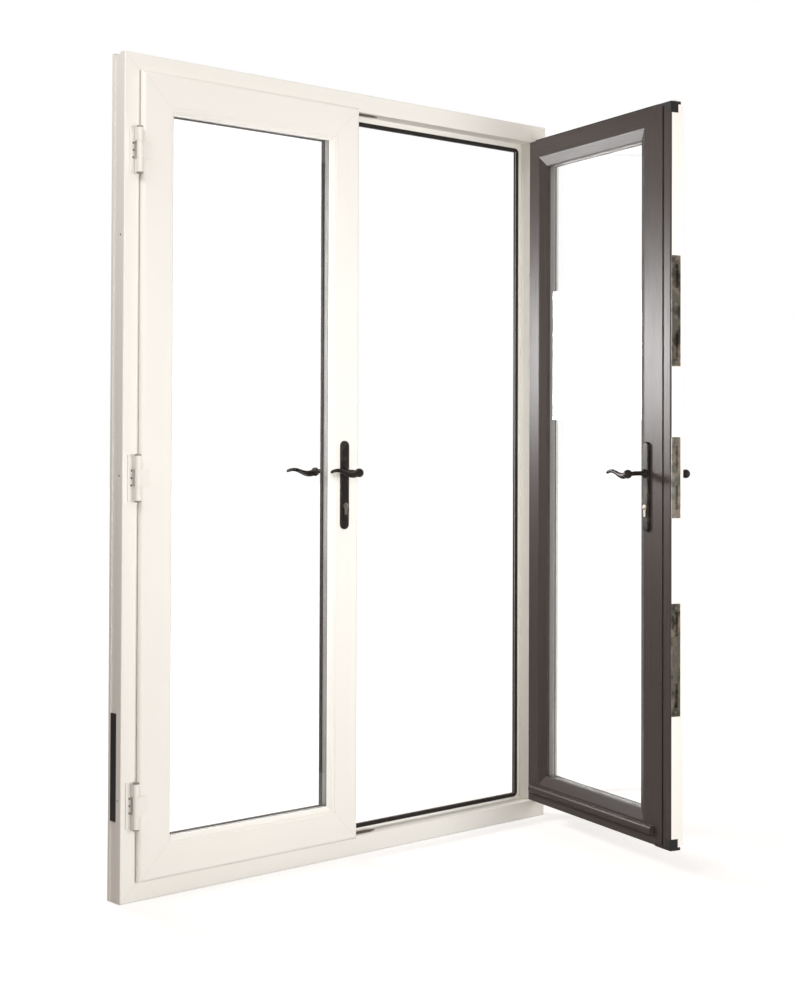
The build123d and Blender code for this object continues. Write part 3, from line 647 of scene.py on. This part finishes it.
olive = plated_material("olive_steel", KEEP_OLIVE, KEEP_OLIVE_DULL, KEEP_OLIVE_WARM)
for keep, plating in (("right_keep_lower", olive), ("right_keep_middle", zinc),
                      ("right_keep_upper", olive)):
    dress(plating, keep)
    keep_low, keep_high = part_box(keep)
    keep_edge = reach_along("right", keep)
    keep_middle = (keep_low + keep_high) / 2
    keep_depth = float((np.array(keep_middle) - right_origin) @ right_outward)
    ends = np.array([keep_low.z + KEEP_SCREW_FROM_END, keep_high.z - KEEP_SCREW_FROM_END])
    cams = keep_middle.z + np.array([-0.5, 0.5]) * KEEP_CAM_SPACING
    heads = screw_heads(on_leaf("right", keep_edge, keep_depth, ends), right_along, SMALL_SCREW_RADIUS)
    heads += screw_heads(on_leaf("right", keep_edge, keep_depth, cams), right_along, KEEP_CAM_RADIUS)
    lay_surface(keep + "_screws", heads, screw_steel, "right_leaf")
    trays = [pocket_tray(keep_edge, keep_depth, height) for height in
             (keep_low.z + KEEP_POCKET_FROM_END, keep_high.z - KEEP_POCKET_FROM_END)]
    lay_surface(keep + "_trays", trays, plating, "right_leaf")

# Lock cylinders: one through each leaf's stile and both its backplates, in satin nickel.
# A turned plug stands at each end, its keyway drawn as a black bar of painted shade.
NICKEL = (0.46, 0.42, 0.37, 1)
NICKEL_WORN = (0.34, 0.305, 0.265, 1)
CYLINDER_BELOW_SPINDLE = 0.092
CYLINDER_PROUD = 0.010
PLUG_RADIUS = 0.0062
PLUG_LIFT = 0.0006
PLUG_TOP = 0.94
PLUG_SHOULDER = 0.6
PLUG_STEPS = 41
KEYWAY_WIDTH = 0.0016
KEYWAY_HEIGHT = 0.0085
KEYWAY_LIFT = 1.15
nickel, tree, shader = new_material("satin_nickel", metallic=1.0)
place = object_point(tree)
turning = noise(tree, place, scale=500.0, detail=3.0)
finish(tree, shader, blend(tree, turning, NICKEL, NICKEL_WORN),
       rising(tree, turning, base=0.40, gain=0.15), turning, depth=0.00003)
dress(nickel, "left_cylinder", "right_cylinder")
SPINDLE_HEIGHT = joints["left_lever_turn"]["pos_m"][2]
HANDLE_ALONG = {}
for side, (origin, run, outward) in LEAVES.items():
    spindle = np.array(joints[side + "_lever_turn"]["pos_m"])
    HANDLE_ALONG[side] = float((spindle - origin) @ run)
FACES = {"room": (0.0, -1), "outer": (LEAF_DEPTH, 1)}


def plug_face(side, face):
    """Turned plug: a disc whose rim rises in a small bevel from the cylinder's end."""
    start, way = FACES[face]
    radius = PLUG_RADIUS * np.array([0.0, 1.0, 1.0, PLUG_TOP, 0.0])[:, None]
    lift = PLUG_LIFT * np.array([-1.0, -1.0, PLUG_SHOULDER, 1.0, 1.0])[:, None]
    angle = np.linspace(0, 2 * np.pi, PLUG_STEPS)[None, :]
    return on_leaf(side, HANDLE_ALONG[side] + radius * np.cos(angle), start + way * (CYLINDER_PROUD + lift),
                   SPINDLE_HEIGHT - CYLINDER_BELOW_SPINDLE + radius * np.sin(angle))


def painted_slot_shade(side, face):
    """Keyway in painted shade: a black flat bar of four-cornered section across a plug, carried between two
    closed ends.
    """
    start, way = FACES[face]
    wide = KEYWAY_WIDTH / 2 * np.array([-1, 1, 1, -1, -1])[:, None]
    lift = PLUG_LIFT * np.array([0.0, 0.0, KEYWAY_LIFT, KEYWAY_LIFT, 0.0])[:, None]
    reach = KEYWAY_HEIGHT / 2 * np.array([-1, -1, 1, 1])[None, :]
    share = np.array([0.0, 1.0, 1.0, 0.0])[None, :]
    return on_leaf(side, HANDLE_ALONG[side] + wide * share, start + way * (CYLINDER_PROUD + lift * share),
                   SPINDLE_HEIGHT - CYLINDER_BELOW_SPINDLE + reach)


# Each plug's keyway is a black bar of painted shade.
for side in LEAVES:
    plugs = [plug_face(side, face) for face in FACES]
    painted_slot_shades = [painted_slot_shade(side, face) for face in FACES]
    lay_surface(side + "_plugs", plugs, nickel, side + "_leaf")
    lay_surface(side + "_keyways", painted_slot_shades, black_plastic, side + "_leaf")

# Handles: lever furniture on long backplates, both sides of each leaf.
# Cast alloy with a dark bronze coat in slightly lighter and darker patches.
# Two screws through each room plate draw the pair of plates together.
BRONZE = (0.026, 0.021, 0.019, 1)
BRONZE_RUBBED = (0.070, 0.058, 0.050, 1)
PLATE_LENGTH = 0.240
PLATE_WIDTH = 0.028
PLATE_THICKNESS = 0.008
PLATE_EDGE_ROUND = 0.004
PLATE_ABOVE_SPINDLE = 0.084
PLATE_SCREW_FROM_END = 0.016
PLATE_EDGE_STEPS = 9
PLATE_END_STEPS = 25
LEVER_GAP = 0.001
ROSE_RADIUS = 0.0115
ROSE_LENGTH = 0.012
NECK_RADIUS = 0.006
NECK_REACH = 0.054
BOSS_RADIUS = 0.012
NECK_SECTIONS = 90
NECK_STEPS = 49
ARM_LENGTH = 0.101
ARM_WAVE = 0.0055
ARM_ROOT_HEIGHT = 0.018
ARM_TIP_HEIGHT = 0.009
ARM_THICKNESS = 0.010
ARM_DROP = 0.002
ARM_TIP_ROUND = 0.06
ARM_TAPER_SPEED = 1.1
ARM_THINNING = 0.25
ARM_STEP_POWER = 1.4
ARM_SECTIONS = 80
ARM_STEPS = 33
bronze, tree, shader = new_material("dark_bronze", metallic=0.45, specular_ior_level=0.4)
place = object_point(tree)
rubbed = noise(tree, place, scale=38.0, detail=4.0)
finish(tree, shader, blend(tree, step(tree, rubbed, start=0.48, end=0.75), BRONZE, BRONZE_RUBBED),
       rising(tree, rubbed, base=0.30, gain=0.2), noise(tree, place, scale=800.0), depth=0.00008)


def backplate(side, face):
    """Long plate with round ends: a stadium outline, drawn in by a quarter-round edge to its middle line."""
    start, way = FACES[face]
    turn = np.linspace(0, np.pi / 2, PLATE_EDGE_STEPS)
    inset = np.concatenate([[PLATE_WIDTH / 2, 0, 0], PLATE_EDGE_ROUND * (1 - np.cos(turn)),
                            [PLATE_WIDTH / 2]])
    rise = np.concatenate([[0, 0, PLATE_THICKNESS / 4],
                           PLATE_THICKNESS - PLATE_EDGE_ROUND * (1 - np.sin(turn)), [PLATE_THICKNESS]])
    half_turn = np.linspace(0, np.pi, PLATE_END_STEPS)
    angle = np.concatenate([half_turn, half_turn + np.pi, [0.0]])
    upper_end = np.ones(PLATE_END_STEPS)
    straight = (PLATE_LENGTH - PLATE_WIDTH) / 2 * np.concatenate([upper_end, -upper_end, [1.0]])
    radius = (PLATE_WIDTH / 2 - inset)[:, None]
    middle = SPINDLE_HEIGHT + PLATE_ABOVE_SPINDLE - PLATE_LENGTH / 2
    return on_leaf(side, HANDLE_ALONG[side] + radius * np.cos(angle), start + way * rise[:, None],
                   middle + straight + radius * np.sin(angle))


def ease(value):
    """Smooth rise from 0 to 1 with level ends."""
    value = np.clip(value, 0, 1)
    return value * value * (3 - 2 * value)


def lever_neck(side, face):
    """Rose, neck and ball end in round sections: the radius eases from rose to neck, then is a sphere's.

    The sections sink by the arm's drop over the neck's second half.
    """
    start, way = FACES[face]
    reach = np.concatenate([[0.0], np.linspace(0, NECK_REACH + BOSS_RADIUS, NECK_SECTIONS)])
    radius = NECK_RADIUS + (ROSE_RADIUS - NECK_RADIUS) * (1 - ease(reach / ROSE_LENGTH))
    ball = np.sqrt(np.clip(BOSS_RADIUS ** 2 - (reach - NECK_REACH) ** 2, 0, None))
    radius = np.where(reach > NECK_REACH, ball, np.maximum(radius, ball))
    radius[0] = 0.0
    angle = np.linspace(0, 2 * np.pi, NECK_STEPS)
    return on_leaf(side, HANDLE_ALONG[side] + radius[:, None] * np.cos(angle),
                   start + way * (PLATE_THICKNESS + LEVER_GAP + reach)[:, None],
                   SPINDLE_HEIGHT - ARM_DROP * ease(2 * reach / NECK_REACH - 1)[:, None]
                   + radius[:, None] * np.sin(angle))


def lever_arm(side, face):
    """Tapering arm: an oval section carried along one sine wave, drawn in to a round end at the tip."""
    start, way = FACES[face]
    share = 1 - (1 - np.linspace(0, 1, ARM_SECTIONS)) ** ARM_STEP_POWER
    to_tip = np.clip((share - (1 - ARM_TIP_ROUND)) / ARM_TIP_ROUND, 0, 1)
    closing = np.sqrt(1 - to_tip ** 2)
    closing[0] = 0.0
    taper = ease(share * ARM_TAPER_SPEED)
    height = (ARM_ROOT_HEIGHT + (ARM_TIP_HEIGHT - ARM_ROOT_HEIGHT) * taper) / 2 * closing
    thickness = ARM_THICKNESS / 2 * (1 - ARM_THINNING * share) * closing
    middle = SPINDLE_HEIGHT - ARM_WAVE * np.sin(2 * np.pi * share) - ARM_DROP * (1 - share)
    angle = np.linspace(0, 2 * np.pi, ARM_STEPS)
    reach = PLATE_THICKNESS + LEVER_GAP + NECK_REACH + thickness[:, None] * np.cos(angle)
    return on_leaf(side, (HANDLE_ALONG[side] - ARM_LENGTH * share)[:, None], start + way * reach,
                   middle[:, None] + height[:, None] * np.sin(angle))


plate_top = SPINDLE_HEIGHT + PLATE_ABOVE_SPINDLE
plate_screw_heights = np.array([plate_top - PLATE_SCREW_FROM_END,
                                plate_top - PLATE_LENGTH + PLATE_SCREW_FROM_END])
for side in LEAVES:
    for face in FACES:
        handle = side + "_" + face
        plate = lay_surface(handle + "_backplate", [backplate(side, face)], bronze, side + "_leaf")
        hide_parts(handle + "_plate")
        lever = lay_surface(handle + "_handle", [lever_neck(side, face), lever_arm(side, face)], bronze,
                            side + "_levers")
        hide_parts(handle + "_lever")
    screw_places = on_leaf(side, HANDLE_ALONG[side], -PLATE_THICKNESS, plate_screw_heights)
    lay_surface(side + "_plate_screws", screw_heads(screw_places, -LEAVES[side][2], SMALL_SCREW_RADIUS),
                bronze, side + "_leaf")

# Studio: a pale floor that keeps the door's shadow, a white surround, and soft lamps.
# The floor's own glow rises to white away from the door, so that no horizon shows.
# The camera stands front left at chest height.
WHITE = (1, 1, 1, 1)
WARM_FILL = (1.0, 0.85, 0.785, 1)
FLOOR_HALF_SIZE = 30.0
FLOOR_BELOW = 0.0005
FLOOR_ALBEDO = (0.46, 0.44, 0.42, 1)
FLOOR_GLOW_NEAR = 0.66
FLOOR_CLEAR_FROM = 0.7
FLOOR_CLEAR_TO = 2.2
FILL_LEVEL = 0.32
SEEN_THROUGH_GLASS = 1.18


def seen_strength(tree, unseen):
    """Strength of a backdrop: white to the camera, a little more through glass, else the unseen level."""
    paths = put(tree, "LightPath").outputs
    shown = calc(tree, "MULTIPLY_ADD", paths["Is Camera Ray"], 1.0 - unseen, unseen)
    return calc(tree, "MULTIPLY_ADD", paths["Is Transmission Ray"], SEEN_THROUGH_GLASS - unseen, shown)


floor_edge = np.array([-FLOOR_HALF_SIZE, FLOOR_HALF_SIZE])
floor_x, floor_y = np.meshgrid(floor_edge, floor_edge)
floor_mesh = bpy.data.meshes.new("floor")
floor_points = np.stack([floor_x, floor_y, 0 * floor_x - FLOOR_BELOW], axis=-1)
floor_mesh.from_pydata(floor_points.reshape(-1, 3).tolist(), [], [(0, 1, 3, 2)])
floor = bpy.data.objects.new("floor", floor_mesh)
bpy.context.scene.collection.objects.link(floor)
floor_finish = bpy.data.materials.new("pale_floor")
floor_finish.use_nodes = True
tree = floor_finish.node_tree
tree.nodes.clear()
place = object_point(tree)
from_door = put(tree, "VectorMath", {0: place}, operation="LENGTH").outputs["Value"]
cleared = step(tree, from_door, FLOOR_CLEAR_FROM, FLOOR_CLEAR_TO)
strength = calc(tree, "MULTIPLY_ADD", cleared, 1.0 - FLOOR_GLOW_NEAR, FLOOR_GLOW_NEAR)
matt = put(tree, "BsdfDiffuse", {"Color": FLOOR_ALBEDO})
shown = calc(tree, "MULTIPLY", seen_strength(tree, 0.0), strength)
glow = put(tree, "Emission", {"Color": WHITE, "Strength": shown})
both = put(tree, "AddShader", {0: matt.outputs[0], 1: glow.outputs[0]})
surface = tree.nodes.new("ShaderNodeOutputMaterial")
tree.links.new(both.outputs[0], surface.inputs["Surface"])
floor.data.materials.append(floor_finish)

world = bpy.data.worlds.new("white_surround")
bpy.context.scene.world = world
world.use_nodes = True
tree = world.node_tree
background = tree.nodes["Background"]
paths = put(tree, "LightPath").outputs
seen = calc(tree, "MAXIMUM", paths["Is Camera Ray"], paths["Is Transmission Ray"])
tree.links.new(seen_strength(tree, FILL_LEVEL), background.inputs["Strength"])
tree.links.new(blend(tree, seen, WARM_FILL, WHITE), background.inputs["Color"])


def soft_lamp(name, spot, target, width, height, watts, mirrored=False, spread=180):
    """Rectangular lamp at a spot, turned to a target, unseen by the camera and through glass."""
    lamp = bpy.data.lights.new(name, "AREA")
    lamp.shape = "RECTANGLE"
    lamp.size, lamp.size_y = width, height
    lamp.energy = watts
    lamp.spread = math.radians(spread)
    holder = bpy.data.objects.new(name, lamp)
    holder.location = spot
    holder.rotation_euler = (Vector(target) - Vector(spot)).to_track_quat("-Z", "Y").to_euler()
    holder.visible_camera = False
    holder.visible_transmission = False
    holder.visible_glossy = mirrored
    bpy.context.scene.collection.objects.link(holder)


soft_lamp("front_lamp", spot=(-0.5, -5.6, 0.9), target=(0.2, 0, 0.6), width=4.0, height=2.6, watts=258)
soft_lamp("left_lamp", spot=(-2.2, -0.25, 3.1), target=(-0.76, 0, 1.6), width=1.2, height=0.8, watts=26)
soft_lamp("opening_lamp", spot=(-2.3, -2.6, 1.4), target=(0.72, 0, 1.15), width=0.8, height=0.8,
          watts=2.7, spread=40)
soft_lamp("back_lamp", spot=(-0.33, 1.95, 1.5), target=(0.62, -0.36, 1.37), width=0.8, height=0.55,
          watts=52, mirrored=True)

FOCAL_PIXELS = 1723.81
PICTURE_HEIGHT = 996
SENSOR_WIDTH = 36.0
PRINCIPAL_ROW = 410.99
CAMERA_SPOT = (-3.12949, -3.58607, 1.13682)
CAMERA_YAW = 42.69
CAMERA_PITCH = 0.9492
CAMERA_ROLL = 0.2077
camera = bpy.data.cameras.new("camera")
camera.sensor_width = SENSOR_WIDTH
camera.lens = FOCAL_PIXELS * SENSOR_WIDTH / PICTURE_HEIGHT
camera.shift_y = (PRINCIPAL_ROW - PICTURE_HEIGHT / 2) / PICTURE_HEIGHT
viewer = bpy.data.objects.new("camera", camera)
viewer.matrix_world = (Matrix.Translation(CAMERA_SPOT) @ Matrix.Rotation(-math.radians(CAMERA_YAW), 4, "Z")
                       @ Matrix.Rotation(math.radians(90 + CAMERA_PITCH), 4, "X")
                       @ Matrix.Rotation(math.radians(CAMERA_ROLL), 4, "Z"))
bpy.context.scene.collection.objects.link(viewer)
bpy.context.scene.camera = viewer
bpy.context.scene.view_settings.view_transform = "Standard"
